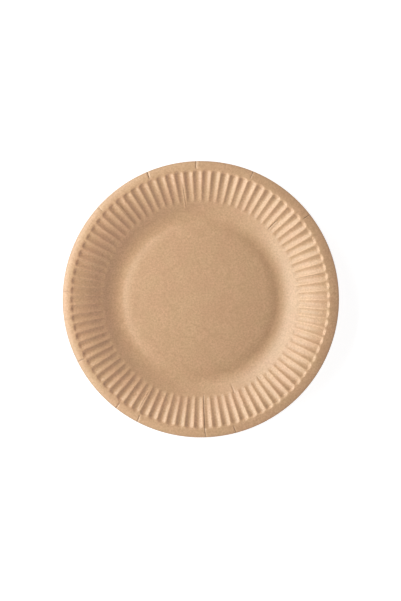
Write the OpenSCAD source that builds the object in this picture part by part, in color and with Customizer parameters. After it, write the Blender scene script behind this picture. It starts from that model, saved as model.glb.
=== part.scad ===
// Pressed paper plate: one round blank of kraft board, drawn to shape between a pair of heated dies.
// The plate stands on its foot ring at z = 0, with its middle on the Z axis. Sizes in millimetres.
// A slope is the angle of the board's upper face in degrees, positive where it rises outwards.

/* [Plate] */
// Diameter over the lip
plate_d = 180; // [150:1:230]
// Height from the table to the crest of the rim
plate_h = 15; // [12:0.5:18]
// Thickness of the board
board_t = 0.5; // [0.3:0.05:0.7]

/* [Bottom] */
// Width of the flat of the foot ring
foot_w = 1.6; // [0.6:0.2:3]
// Radius of the channel above the foot ring
channel_r = 12; // [8:0.5:15]
// Height of the dome's edge above the channel
step_h = 1.2; // [0.8:0.1:2]
// Radius of the shoulder between the dome and the channel
shoulder_r = 34; // [20:1:45]
// Slope of the dome at its edge
dome_slope = 4.2; // [1:0.2:6]

/* [Rim] */
// Width from the middle of the foot ring to the crest
rim_w = 33.5; // [30:0.5:42]
// Radius of the bend that carries the wall over the crest and down into the lip
rim_r = 13; // [9:0.5:15]
// Width of the lip outside the crest
lip_w = 4.5; // [3:0.25:6]

/* [Flutes] */
// Number of flutes round the rim
flute_n = 85; // [60:1:95]
// Depth of a flute where the wall bends over
flute_depth = 0.95; // [0.6:0.05:1.1]
// Width of the ridge left between two flutes
flute_land = 0.65; // [0.55:0.05:1.2]
// Length of plain wall between the channel and the middle of a flute's round inner end
flute_in = 7.6; // [5:0.2:9]

/* [Hidden] */

board_colour = "#c8a17e";
round_steps = 240;
flute_steps = 60;
// Largest turn between two points of a bend below the wall
bend_step = 4;
// Angle at which the wall's line runs into the rim's bend, so that the two meet at a clear point
rim_entry = 3;
// How far the section runs on below the table, so that it holds the whole round of the rim's bend
past_foot = 2 * rim_r;
// How far a flute's rod runs on, in the air, past the start of the rim's bend
past_wall = 12;
// The flutes are pressed in so many sets, as neighbours may not be cut together
flute_sets = 3;
least_gap = 0.001;

// Point of a bend about o where its slope is s: a crown has a positive radius, a hollow a negative one
function bow(o, r, s) = o + r * [-sin(s), cos(s)];
function along(s) = [cos(s), sin(s)];

// Bottom: the foot ring's two channel bends, the shoulder and the dome
crest_r = plate_d / 2 - lip_w;
foot_r = crest_r - rim_w;
channel_in = [foot_r - foot_w / 2, board_t + channel_r];
channel_out = [foot_r + foot_w / 2, board_t + channel_r];
step_slope = -acos((shoulder_r * cos(dome_slope) + channel_r - step_h) / (shoulder_r + channel_r));
shoulder = bow(channel_in, -shoulder_r - channel_r, step_slope);
dome_edge = bow(shoulder, shoulder_r, -dome_slope);
dome_r = dome_edge.x / sin(dome_slope);
dome = [0, dome_edge.y - dome_r * cos(dome_slope)];

// Rim: the wall's line leaves the channel as a tangent and runs into the bend round the crest
rim = [crest_r, plate_h - rim_r];
edge_slope = -asin(lip_w / rim_r);
rim_way = rim - channel_out;
line_gap = channel_r + rim_r * cos(rim_entry);
wall_l = sqrt(rim_way * rim_way - pow(line_gap, 2));
wall_slope = atan2(rim_way.y, rim_way.x) + atan2(line_gap, wall_l);
wall_start = bow(channel_out, -channel_r, wall_slope);
bend_start = bow(rim, rim_r, wall_slope + rim_entry);

// The sampled bends from the middle outwards: centre, radius, first slope, last slope
bends = [
    [dome, dome_r, 0, -dome_slope],
    [shoulder, shoulder_r, -dome_slope, step_slope],
    [channel_in, -channel_r, step_slope, 0],
    [channel_out, -channel_r, 0, wall_slope]
];

function bend_points(o, r, from, to) =
    let (n = ceil(abs(to - from) / bend_step))
    [for (i = [0 : n]) bow(o, r, from + (to - from) * i / n)];

function once(p) = [for (i = [0 : len(p) - 1]) if (i == 0 || norm(p[i] - p[i - 1]) > least_gap) p[i]];

// Flutes: one round hollow, sunk so that the ridges between the flutes keep their width along the wall
function flute_w(ring_r) = 2 * PI * ring_r / flute_n - flute_land;
function stand_off(ring_r) = sqrt(pow(flute_r, 2) - pow(flute_w(ring_r) / 2, 2));

flute_r = (pow(flute_w(bend_start.x) / 2, 2) + pow(flute_depth, 2)) / (2 * flute_depth);
flute_start = wall_start + flute_in * along(wall_slope);
axis_start = bow(flute_start, stand_off(flute_start.x), wall_slope);
axis_run = bow(bend_start, stand_off(bend_start.x), wall_slope) - axis_start;
axis_slope = atan2(axis_run.y, axis_run.x);

// Section of all that lies at least depth below the upper face of the smooth board
module under_board(depth) {
    low = -past_foot - depth;
    line = once([for (b = bends) each bend_points(b[0], b[1] - depth, b[2], b[3])]);
    wall_end = line[len(line) - 1] + wall_l * along(wall_slope);
    polygon(concat(line, [wall_end, rim, [plate_d / 2, rim.y], [plate_d / 2, low], [0, low]]));
    translate(rim) circle(rim_r - depth, $fn = round_steps);
}

// All that lies past the cut edge of the lip
module past_edge() {
    cut = plate_d * along(90 + edge_slope);
    polygon([rim, rim + cut, [plate_d, -plate_d], [rim.x, -plate_d]]);
}

// The board as it would be without its flutes
module smooth_board() {
    rotate_extrude($fn = round_steps)
        difference() {
            under_board(0);
            past_edge();
            under_board(board_t);
        }
}

// Hollow of one flute, grown by a distance: a rod with a round inner end
module flute(by) {
    r = flute_r + by;
    translate([axis_start.x, 0, axis_start.y])
        rotate([0, 90 - axis_slope, 0])
            rotate_extrude($fn = flute_steps) {
                intersection() {
                    circle(r, $fn = flute_steps);
                    translate([0, -r]) square(r);
                }
                square([r, norm(axis_run) + past_wall]);
            }
}

// The board that bulges out on the back of one flute
module flute_back() {
    intersection() {
        flute(board_t);
        rotate([90, 0, 0])
            linear_extrude(4 * flute_r, center = true)
                under_board(board_t / 2);
    }
}

// Set that a flute is pressed in: those left over at the end of the round keep off the first ones
full_round = flute_n - flute_n % flute_sets;
function set_of(i) = (i < full_round ? i : i + 1) % flute_sets;

// The flutes of one set; a ridge, not a flute, lies on the X axis
module flute_set(set) {
    for (i = [0 : flute_n - 1]) {
        if (set_of(i) == set) rotate([0, 0, 360 * (i + 0.5) / flute_n]) children();
    }
}

module backed_board(sets) {
    if (sets == 0) {
        smooth_board();
    } else {
        backed_board(sets - 1);
        flute_set(sets - 1) flute_back();
    }
}

module fluted_board(sets) {
    if (sets == 0) {
        backed_board(flute_sets);
    } else {
        difference() {
            fluted_board(sets - 1);
            flute_set(sets - 1) flute(0);
        }
    }
}

module plate() {
    color(board_colour) fluted_board(flute_sets);
}

plate();
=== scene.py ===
import math
import random
from bisect import bisect

import bmesh
import bpy
from mathutils import Matrix, Vector


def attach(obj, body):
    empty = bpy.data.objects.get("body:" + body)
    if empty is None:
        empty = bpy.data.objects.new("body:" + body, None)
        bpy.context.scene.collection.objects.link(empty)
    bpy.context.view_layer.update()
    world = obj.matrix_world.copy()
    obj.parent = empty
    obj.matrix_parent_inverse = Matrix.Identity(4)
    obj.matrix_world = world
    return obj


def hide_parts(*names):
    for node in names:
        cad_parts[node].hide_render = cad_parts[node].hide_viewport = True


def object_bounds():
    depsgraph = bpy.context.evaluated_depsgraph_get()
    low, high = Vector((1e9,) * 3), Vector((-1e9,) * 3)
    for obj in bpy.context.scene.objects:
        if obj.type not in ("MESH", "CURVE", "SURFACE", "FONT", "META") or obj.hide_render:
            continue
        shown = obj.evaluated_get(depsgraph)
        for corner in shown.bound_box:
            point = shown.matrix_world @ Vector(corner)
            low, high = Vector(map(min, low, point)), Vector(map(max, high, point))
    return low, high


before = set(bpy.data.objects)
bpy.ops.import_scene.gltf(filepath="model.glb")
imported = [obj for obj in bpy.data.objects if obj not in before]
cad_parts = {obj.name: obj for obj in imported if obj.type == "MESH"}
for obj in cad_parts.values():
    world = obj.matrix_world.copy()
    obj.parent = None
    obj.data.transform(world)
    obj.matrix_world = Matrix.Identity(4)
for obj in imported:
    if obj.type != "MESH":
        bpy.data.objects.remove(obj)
cad_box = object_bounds()
scene = bpy.context.scene

# The board: uncoated brown kraft, one even tone with a faint cloudiness, short pressed fibres and a few
# darker specks of bark. The hot dies leave it matte with a slight sheen, and its fibres keep a fine tooth.
# Real pulp is finer than a picture shows, so its grain and fibres are drawn coarser here.
MM = 0.001


def linear(hex_colour):
    """Linear colour of an sRGB hex colour."""
    parts = [int(hex_colour[i : i + 2], 16) / 255 for i in (1, 3, 5)]
    return [c / 12.92 if c <= 0.04045 else ((c + 0.055) / 1.055) ** 2.4 for c in parts] + [1.0]


def add_node(tree, kind, inputs=None, **settings):
    """A new node with its settings and inputs, where an input is a value or another node's output."""
    node = tree.nodes.new(kind)
    for name, value in settings.items():
        setattr(node, name, value)
    for name, value in (inputs or {}).items():
        if isinstance(value, bpy.types.NodeSocket):
            tree.links.new(value, node.inputs[name])
        else:
            node.inputs[name].default_value = value
    return node


KRAFT_LIGHT = linear("#deb58b")
KRAFT_DARK = linear("#c1976f")
FIBRE_DARK = linear("#a87e5c")
# Painted shade for the inside of a fold
CREASE_SHADE = linear("#6e5038")
ROSE = (1.015, 0.975, 1.0, 1.0)
# Painted highlight: the ridges are drawn paler by this factor
RIDGE_HIGHLIGHT = (1.1, 1.1, 1.1, 1.0)
# The pulp, its clouds, its dark and its pale fibres and a faint blush: size in mm, detail, how far it is
# drawn out, its turn in degrees, the noise values between which it comes in, its share, colour and blend
PATTERNS = [
    (1.1, 3, 1, 0, (0.3, 0.7), 1, KRAFT_LIGHT, "MIX"),
    (9, 4, 1, 0, (0.3, 0.7), 0.4, KRAFT_DARK, "MIX"),
    (2.4, 2, 7, 25, (0.6, 0.75), 0.25, FIBRE_DARK, "MIX"),
    (2.4, 2, 7, 115, (0.6, 0.75), 0.25, KRAFT_LIGHT, "MIX"),
    (12, 2, 1, 0, (0.35, 0.65), 1, ROSE, "MULTIPLY"),
]
# A speck of bark lies in about every eighth cell, and fades between two shares of the cell's width
FLECK_CELL = 2.6
FLECK_DRAW = (0.86, 0.9)
FLECK_FADE = (0.05, 0.13)
FLECK_SHARE = 0.35
# The board darkens over a narrow band at its cut edge, given by its distances from the rim
EDGE_BAND = (1.4, 0.1)
EDGE_SHARE = 0.5
TOOTH_SIZE = 0.7
TOOTH_DEPTH = 0.05
TOOTH_STRENGTH = 0.5
SHEEN_ROUGHNESS = 0.48
SHEEN_LEVEL = 0.8

kraft = bpy.data.materials.new("kraft_board")
kraft.use_nodes = True
kt = kraft.node_tree
kt.nodes.clear()
place = add_node(kt, "ShaderNodeTexCoord").outputs["Object"]

coats = []
for size, detail, drawn_out, turned, window, share, colour, blend in PATTERNS:
    where = add_node(
        kt,
        "ShaderNodeMapping",
        {"Vector": place, "Rotation": (0, 0, math.radians(turned)), "Scale": (1, drawn_out, 1)},
    )
    noise = add_node(
        kt,
        "ShaderNodeTexNoise",
        {"Vector": where.outputs["Vector"], "Scale": 1 / (size * MM), "Detail": detail},
    )
    shows = add_node(
        kt,
        "ShaderNodeMapRange",
        {"Value": noise.outputs["Fac"], "From Min": window[0], "From Max": window[1], "To Max": share},
    )
    coats.append((shows.outputs["Result"], colour, blend))

cells = add_node(kt, "ShaderNodeTexVoronoi", {"Vector": place, "Scale": 1 / (FLECK_CELL * MM)})
cell_draw = add_node(kt, "ShaderNodeSeparateColor", {"Color": cells.outputs["Color"]})
fleck_here = add_node(
    kt,
    "ShaderNodeMapRange",
    {"Value": cell_draw.outputs[0], "From Min": FLECK_DRAW[0], "From Max": FLECK_DRAW[1]},
)
fleck_spot = add_node(
    kt,
    "ShaderNodeMapRange",
    {
        "Value": cells.outputs["Distance"],
        "From Min": FLECK_FADE[0],
        "From Max": FLECK_FADE[1],
        "To Min": FLECK_SHARE,
        "To Max": 0,
    },
)
fleck = add_node(
    kt,
    "ShaderNodeMath",
    {0: fleck_spot.outputs["Result"], 1: fleck_here.outputs["Result"]},
    operation="MULTIPLY",
)
# The specks lie under the blush, which is the last of the patterns
coats.insert(-1, (fleck.outputs[0], FIBRE_DARK, "MIX"))

rim_r = cad_box[1][0]
flat_place = add_node(kt, "ShaderNodeVectorMath", {0: place, 1: (1, 1, 0)}, operation="MULTIPLY")
ring_r = add_node(kt, "ShaderNodeVectorMath", {0: flat_place.outputs[0]}, operation="LENGTH")
edge = add_node(
    kt,
    "ShaderNodeMapRange",
    {
        "Value": ring_r.outputs["Value"],
        "From Min": rim_r - EDGE_BAND[0] * MM,
        "From Max": rim_r - EDGE_BAND[1] * MM,
        "To Max": EDGE_SHARE,
    },
)
coats.append((edge.outputs["Result"], FIBRE_DARK, "MIX"))

# The mesh itself marks where the board is folded, which gets painted shade, and its ridges, which get a
# painted highlight
for mark, colour, blend in (("painted_crease_shade", CREASE_SHADE, "MIX"), ("painted_ridge_highlight", RIDGE_HIGHLIGHT, "MULTIPLY")):
    marked = add_node(kt, "ShaderNodeAttribute", attribute_name=mark)
    coats.append((marked.outputs["Fac"], colour, blend))

# Inputs 6 and 7 and output 2 of a Mix node are its colours
tone = KRAFT_DARK
for share, colour, blend in coats:
    coat = add_node(
        kt, "ShaderNodeMix", {"Factor": share, 6: tone, 7: colour}, data_type="RGBA", blend_type=blend
    )
    tone = coat.outputs[2]

tooth_noise = add_node(
    kt, "ShaderNodeTexNoise", {"Vector": place, "Scale": 1 / (TOOTH_SIZE * MM), "Detail": 3}
)
tooth = add_node(
    kt,
    "ShaderNodeBump",
    {"Height": tooth_noise.outputs["Fac"], "Strength": TOOTH_STRENGTH, "Distance": TOOTH_DEPTH * MM},
)
board_shader = add_node(
    kt,
    "ShaderNodeBsdfPrincipled",
    {
        "Base Color": tone,
        "Roughness": SHEEN_ROUGHNESS,
        "Specular IOR Level": SHEEN_LEVEL,
        "Normal": tooth.outputs["Normal"],
    },
)
add_node(kt, "ShaderNodeOutputMaterial", {"Surface": board_shader.outputs["BSDF"]})

# The blank in its dies: a round of board drawn down to a low dome, a channel whose back is the foot ring,
# a sloping wall, a rim that bends over and a lip that turns down. Its section is spun about the axis.
BOARD_T = 0.5
# Runs of the section from the middle outwards: radius of a bend or length of a straight, the slope where it
# ends in degrees, and its number of steps. A crown bends down, a hollow bends up.
SECTION = [
    ("crown", 600, -4.2, 3),
    ("crown", 36.5, -13.2, 3),
    ("hollow", 11.5, 0, 3),
    ("hollow", 12.5, 16, 3),
    ("hollow", 21, 33.5, 3),
    ("straight", 0.98, 33.5, 1),
    ("straight", 4.56, 33.5, 7),
    ("straight", 4.3, 33.5, 2),
    ("crown", 42.5, 18, 5),
    ("crown", 21.5, 8, 10),
    ("crown", 8.5, 0, 3),
    ("crown", 14, -16, 4),
    ("straight", 1.35, -16, 2),
]
FLUTES = 85
# Columns of one flute, as shares of its pitch from one ridge to the next: close together at the ridges
COLUMNS = [0, 0.05, 0.125, 0.2, 0.3, 0.43, 0.57, 0.7, 0.8, 0.875, 0.95]
MERGE_GAP = 0.01


def run_out(section):
    """Stations of the section, with the board's back on the table: ring radius, height and slope."""
    x, z, slope = 0.0, 0.0, 0.0
    stations = [(x, z, slope)]
    for kind, size, end, steps in section:
        for step in range(1, steps + 1):
            a = math.radians(slope)
            b = math.radians(slope + (end - slope) * step / steps)
            if kind == "straight":
                dx = size * step / steps * math.cos(b)
                dz = size * step / steps * math.sin(b)
            else:
                side = 1 if kind == "crown" else -1
                dx = side * size * (math.sin(a) - math.sin(b))
                dz = side * size * (math.cos(b) - math.cos(a))
            stations.append((x + dx, z + dz, math.degrees(b)))
        x, z, slope = stations[-1]
    table = min(s[1] for s in stations) - BOARD_T
    return [(s[0], s[1] - table, math.radians(s[2])) for s in stations]


stations = run_out(SECTION)
lip_r = stations[-1][0]
crest_r = max(stations, key=lambda s: s[1])[0]
columns = FLUTES * len(COLUMNS)

bm = bmesh.new()
line = [bm.verts.new((r * MM, 0, z * MM)) for r, z, slope in stations]
line_edges = [bm.edges.new(pair) for pair in zip(line, line[1:])]
bmesh.ops.spin(
    bm,
    geom=line + line_edges,
    cent=(0, 0, 0),
    axis=(0, 0, 1),
    angle=2 * math.pi,
    steps=columns,
    use_merge=True,
)
bmesh.ops.remove_doubles(bm, verts=bm.verts, dist=MERGE_GAP * MM)

# The flutes: grooves that the hot die presses into the rim to take up the board's spare length. Each is a
# round hollow that starts square on the wall and ends round below the crest, with a round ridge on each side.
# Share of a flute's half width that bends back to the ridge, and turn of the first ridge in degrees
RIDGE = 0.28
FLUTE_TURN = 0.28
# Ring radii between which a flute's outer end rounds off
FLUTE_OUT = (82.4, 84.7)
# Depth of a flute at some ring radii
DEPTHS = [(63.2, 0), (64.2, 0.15), (65.7, 0.56), (67, 0.64), (71, 0.78), (76, 1.0), (81, 1.22), (90, 1.3)]
# No two flutes are pressed alike: their depth differs by a share, and their reach by part of a millimetre,
# of which their outer ends take less than their inner ones
DEPTH_SPREAD = 0.07
REACH_SPREAD = 0.25
REACH_OUT = 0.4
# How far the dies stood off the middle of the blank, so that the lip is wider on one side
OFF_CENTRE = (-0.55, -0.08)
# Turn by which the flutes on the right and on the left lag behind an even pitch, in degrees
DRIFT = (-0.42, -0.2)
# A painted highlight lies over a share of the pitch to each side of a ridge, most where the flutes are at
# least this deep, and it fades before their outer ends
HIGHLIGHT_HALF = 0.1
HIGHLIGHT_DEPTH = 0.6
HIGHLIGHT_FADE = 0.5

draw = random.Random(11)
flute_strength = [draw.uniform(1 - DEPTH_SPREAD, 1 + DEPTH_SPREAD) for _ in range(FLUTES)]
flute_reach = [draw.uniform(-REACH_SPREAD, REACH_SPREAD) for _ in range(FLUTES)]


def between(x, table):
    """Value at x from a table of points joined by straight lines."""
    for (x0, y0), (x1, y1) in zip(table, table[1:]):
        if x <= x1:
            return y0 + (y1 - y0) * max(0.0, (x - x0) / (x1 - x0))
    return table[-1][1]


def flute_depth(r, turn):
    """Depth of the flutes at a ring radius and a turn in degrees."""
    flute, share = divmod((turn - FLUTE_TURN) % 360 * FLUTES / 360, 1)
    flute = int(flute) % FLUTES
    shift = flute_reach[flute]
    past_end = max(0.0, (r - FLUTE_OUT[0] - REACH_OUT * shift) / (FLUTE_OUT[1] - FLUTE_OUT[0]))
    off = math.hypot(2 * share - 1, past_end)
    if off < 1 - RIDGE:
        hollow = 1 - off**2 / (1 - RIDGE)
    else:
        hollow = max(0.0, 1 - off) ** 2 / RIDGE
    return between(r + shift, DEPTHS) * flute_strength[flute] * hollow


def ridge_highlight(r, share):
    """How far a ridge's painted highlight reaches at a ring radius and a share of the pitch."""
    near = max(0.0, 1 - min(share, 1 - share) / HIGHLIGHT_HALF)
    inside = min(1.0, max(0.0, (FLUTE_OUT[1] - r) / HIGHLIGHT_FADE))
    return near * inside * min(1.0, between(r, DEPTHS) / HIGHLIGHT_DEPTH)


# The creases: where the flutes don't take up all of the spare length, the board folds into a fine line. Most
# lie on the lip and run to its cut edge, a few run along a flute, and some of those stand up.
# Angle in degrees, inner and outer ring radius, and depth, which is negative where the fold stands up
CREASES = [
    (12.4, 63.5, 81, 0.2), (38.2, 84.5, 91, 0.34), (45.9, 63, 73, 0.22), (67.6, 84.5, 91, 0.26),
    (79.4, 86, 91, 0.12), (91.9, 84.5, 91, 0.26), (98.8, 60.5, 76, -0.3), (112.8, 84.5, 91, 0.34),
    (130.8, 68, 82, -0.24), (138.1, 85, 91, 0.18), (176.8, 85, 91, 0.2), (189, 86, 91, 0.12),
    (204.2, 66, 81, 0.16), (207.2, 84, 91, 0.24), (232.2, 84.5, 91, 0.3), (240.8, 68, 82, -0.3),
    (242.6, 84.5, 91, 0.34), (272.1, 62, 91, 0.24), (284.8, 84.5, 91, 0.3), (290.2, 59.5, 66, 0.2),
    (306.6, 62, 66, 0.18), (332, 86, 91, 0.12), (351, 86, 91, 0.12),
]
# Half a crease's width in degrees, the share of its depth by which its sides rise, and the length over which
# its ends fade
CREASE_HALF = 0.24
CREASE_SIDES = 0.35
CREASE_FADE = 1.2
# Depth at which a crease gets the full painted shade of the inside of a fold
CREASE_SHADE_DEPTH = 0.55
CUT_BEVEL = 0.1
CUT_ANGLE = 65

column_turn = [FLUTE_TURN + 360 / FLUTES * (flute + share) for flute in range(FLUTES) for share in COLUMNS]
creased = {}
# Each crease's middle column carries painted shade, more the deeper the crease is
for angle, start, end, depth in CREASES:
    middle = min(range(columns), key=lambda c: abs(column_turn[c] - angle))
    creased[middle] = (angle, start, end, depth, max(0.0, depth / CREASE_SHADE_DEPTH))
    for side in (-1, 1):
        beside = (angle + side * CREASE_HALF, start, end, -CREASE_SIDES * depth, 0.0)
        creased[(middle + side) % columns] = beside

# Each point of the spun blank goes to its own column, is pressed in square to the section and shifts with
# the dies, and the lip's edge stays where the blank was cut
# Layers for the painted shade in the creases and the painted highlight on the ridges
crease_shade_layer = bm.verts.layers.float.new("painted_crease_shade")
ridge_highlight_layer = bm.verts.layers.float.new("painted_ridge_highlight")
midway = [(a[0] + b[0]) / 2 for a, b in zip(stations, stations[1:])]
for v in bm.verts:
    r, z, slope = stations[bisect(midway, math.hypot(v.co.x, v.co.y) / MM)]
    column = round(math.degrees(math.atan2(v.co.y, v.co.x)) % 360 / 360 * columns) % columns
    turn = column_turn[column]
    dent = 0.0
    if column in creased:
        fold_turn, start, end, fold_depth, shade_share = creased[column]
        share = max(0.0, min(1.0, (r - start) / CREASE_FADE, (end - r) / CREASE_FADE))
        turn += share * (fold_turn - turn)
        dent = share * fold_depth
        # The crease's painted shade
        v[crease_shade_layer] = share * shade_share
    # The ridge's painted highlight
    v[ridge_highlight_layer] = ridge_highlight(r, COLUMNS[column % len(COLUMNS)])
    deep = flute_depth(r, turn) + dent
    across = math.cos(math.radians(turn))
    turn += DRIFT[0 if across > 0 else 1] * across**2
    reach = r + deep * math.sin(slope)
    stand_off = min(1.0, max(0.0, (lip_r - r) / (lip_r - crest_r)))
    v.co = MM * Vector(
        (
            reach * math.cos(math.radians(turn)) + OFF_CENTRE[0] * stand_off,
            reach * math.sin(math.radians(turn)) + OFF_CENTRE[1] * stand_off,
            z - deep * math.cos(slope),
        )
    )

bmesh.ops.recalc_face_normals(bm, faces=bm.faces)
if sum(f.normal.z for f in bm.faces) < 0:
    bmesh.ops.reverse_faces(bm, faces=bm.faces)
for f in bm.faces:
    f.smooth = True
mesh = bpy.data.meshes.new("plate_board")
bm.to_mesh(mesh)
bm.free()
plate = bpy.data.objects.new("plate_board", mesh)
scene.collection.objects.link(plate)
plate.data.materials.append(kraft)
thickness = plate.modifiers.new("board", "SOLIDIFY")
thickness.thickness = BOARD_T * MM
thickness.offset = -1
thickness.use_even_offset = True
cut_edge = plate.modifiers.new("cut_edge", "BEVEL")
cut_edge.affect = "EDGES"
cut_edge.limit_method = "ANGLE"
cut_edge.angle_limit = math.radians(CUT_ANGLE)
cut_edge.width = CUT_BEVEL * MM
cut_edge.segments = 2
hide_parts("plate")
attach(plate, "root")

# The studio's sheet: matte grey paper under the plate, which throws little light back up on it. It shows as
# white to the camera and keeps what shadow the plate throws.
SHEET_TONE = "#a8a8a8"
SHEET_GLOW = 0.9
# Half the sheet's width in metres, and its gap below the foot ring in millimetres
SHEET_HALF = 4
SHEET_GAP = 0.05
WHITE = (1, 1, 1, 1)


def camera_sees(tree):
    """One for what the camera, a reflection or a view through glass shows, zero for light on the object."""
    path = add_node(tree, "ShaderNodeLightPath")
    seen = path.outputs["Is Camera Ray"]
    for name in ("Is Glossy Ray", "Is Transmission Ray"):
        either = add_node(tree, "ShaderNodeMath", {0: seen, 1: path.outputs[name]}, operation="MAXIMUM")
        seen = either.outputs[0]
    return seen


sheet = bpy.data.materials.new("grey_paper")
sheet.use_nodes = True
st = sheet.node_tree
st.nodes.clear()
paper = add_node(st, "ShaderNodeBsdfDiffuse", {"Color": linear(SHEET_TONE)})
shine_level = add_node(st, "ShaderNodeMath", {0: camera_sees(st), 1: SHEET_GLOW}, operation="MULTIPLY")
shine = add_node(st, "ShaderNodeEmission", {"Color": WHITE, "Strength": shine_level.outputs[0]})
both = add_node(st, "ShaderNodeAddShader", {0: paper.outputs[0], 1: shine.outputs[0]})
add_node(st, "ShaderNodeOutputMaterial", {"Surface": both.outputs[0]})
bm = bmesh.new()
below = Matrix.Translation((0, 0, -SHEET_GAP * MM))
bmesh.ops.create_grid(bm, x_segments=1, y_segments=1, size=SHEET_HALF, matrix=below)
floor_mesh = bpy.data.meshes.new("floor")
bm.to_mesh(floor_mesh)
bm.free()
floor = bpy.data.objects.new("floor", floor_mesh)
floor_mesh.materials.append(sheet)
scene.collection.objects.link(floor)

# The studio's surround: the white sides of a light tent, which glow in low bands, a little cooler on the
# lamp's side. The camera sees plain white there.
# The way that a band lies, its colour, its level and how fast it falls off with height
GLOWS = [
    ((-1, 0, 0), "#eeffff", 14.0, 10.0),
    ((1, 0, 0), "#fff0f0", 3.75, 2.5),
    ((0, 1, 0), "#ffffff", 1.2, 3.0),
    ((0, -1, 0), "#ffffff", 2.9, 3.0),
]
world = bpy.data.worlds.new("light_tent")
scene.world = world
world.use_nodes = True
wt = world.node_tree
wt.nodes.clear()
way = add_node(wt, "ShaderNodeTexCoord").outputs["Generated"]
height = add_node(wt, "ShaderNodeSeparateXYZ", {"Vector": way}).outputs["Z"]
low = add_node(wt, "ShaderNodeMapRange", {"Value": height, "To Min": 1, "To Max": 0}).outputs["Result"]
above = add_node(wt, "ShaderNodeMath", {0: height, 1: 0}, operation="GREATER_THAN").outputs[0]
light = (0, 0, 0)
for side, colour, level, fall in GLOWS:
    facing = add_node(wt, "ShaderNodeVectorMath", {0: way, 1: side}, operation="DOT_PRODUCT")
    ahead = add_node(wt, "ShaderNodeMath", {0: facing.outputs["Value"], 1: 0}, operation="MAXIMUM")
    wide = add_node(wt, "ShaderNodeMath", {0: ahead.outputs[0], 1: 2}, operation="POWER")
    fade = add_node(wt, "ShaderNodeMath", {0: low, 1: fall}, operation="POWER")
    side_band = add_node(wt, "ShaderNodeMath", {0: wide.outputs[0], 1: above}, operation="MULTIPLY")
    band = add_node(wt, "ShaderNodeMath", {0: side_band.outputs[0], 1: fade.outputs[0]}, operation="MULTIPLY")
    full_glow = [level * c for c in linear(colour)[:3]]
    glow = add_node(wt, "ShaderNodeVectorMath", {0: full_glow, "Scale": band.outputs[0]}, operation="SCALE")
    total = add_node(wt, "ShaderNodeVectorMath", {0: light, 1: glow.outputs[0]}, operation="ADD")
    light = total.outputs[0]
shown = add_node(wt, "ShaderNodeMix", {"Factor": camera_sees(wt), 6: light, 7: WHITE}, data_type="RGBA")
background = add_node(wt, "ShaderNodeBackground", {"Color": shown.outputs[2]})
add_node(wt, "ShaderNodeOutputWorld", {"Surface": background.outputs[0]})

# The studio's lamp: a wide soft box on the left, a little behind the plate, whose slanting light draws out
# the channel and the flutes. Its sizes are in metres and its place in degrees and metres.
KEY_TONE = "#faffff"
KEY_SIZE = (1.3, 0.3)
KEY_AZIMUTH = 169
KEY_HEIGHT = 38
KEY_FAR = 0.7
KEY_LEVEL = 1.63
key = bpy.data.lights.new("soft_box", "AREA")
key.color = linear(KEY_TONE)[:3]
key.shape = "RECTANGLE"
key.size, key.size_y = KEY_SIZE
key.energy = KEY_LEVEL * (math.pi * KEY_FAR) ** 2
key_lamp = bpy.data.objects.new("soft_box", key)
key_turn = math.radians(KEY_AZIMUTH)
key_rise = math.radians(KEY_HEIGHT)
key_lamp.location = KEY_FAR * Vector(
    (math.cos(key_rise) * math.cos(key_turn), math.cos(key_rise) * math.sin(key_turn), math.sin(key_rise))
)
key_lamp.rotation_euler = key_lamp.location.to_track_quat("Z", "Y").to_euler()
scene.collection.objects.link(key_lamp)

# The camera: it looks straight down on the plate, as in the photograph, from so far that one pixel of the
# picture spans MM_PER_PIXEL at the height of the rim. It aims a little off the plate's middle.
LENS = 100
PICTURE_H = 601
MM_PER_PIXEL = 0.6508
AIM = (-0.2, -0.83)
RIM_HEIGHT = 14.5
eye = bpy.data.cameras.new("camera")
eye.lens = LENS
eye.dof.use_dof = False
camera = bpy.data.objects.new("camera", eye)
far = MM_PER_PIXEL * PICTURE_H * LENS / eye.sensor_width
camera.location = Vector((AIM[0], AIM[1], RIM_HEIGHT + far)) * MM
scene.collection.objects.link(camera)
scene.camera = camera
scene.view_settings.view_transform = "Standard"
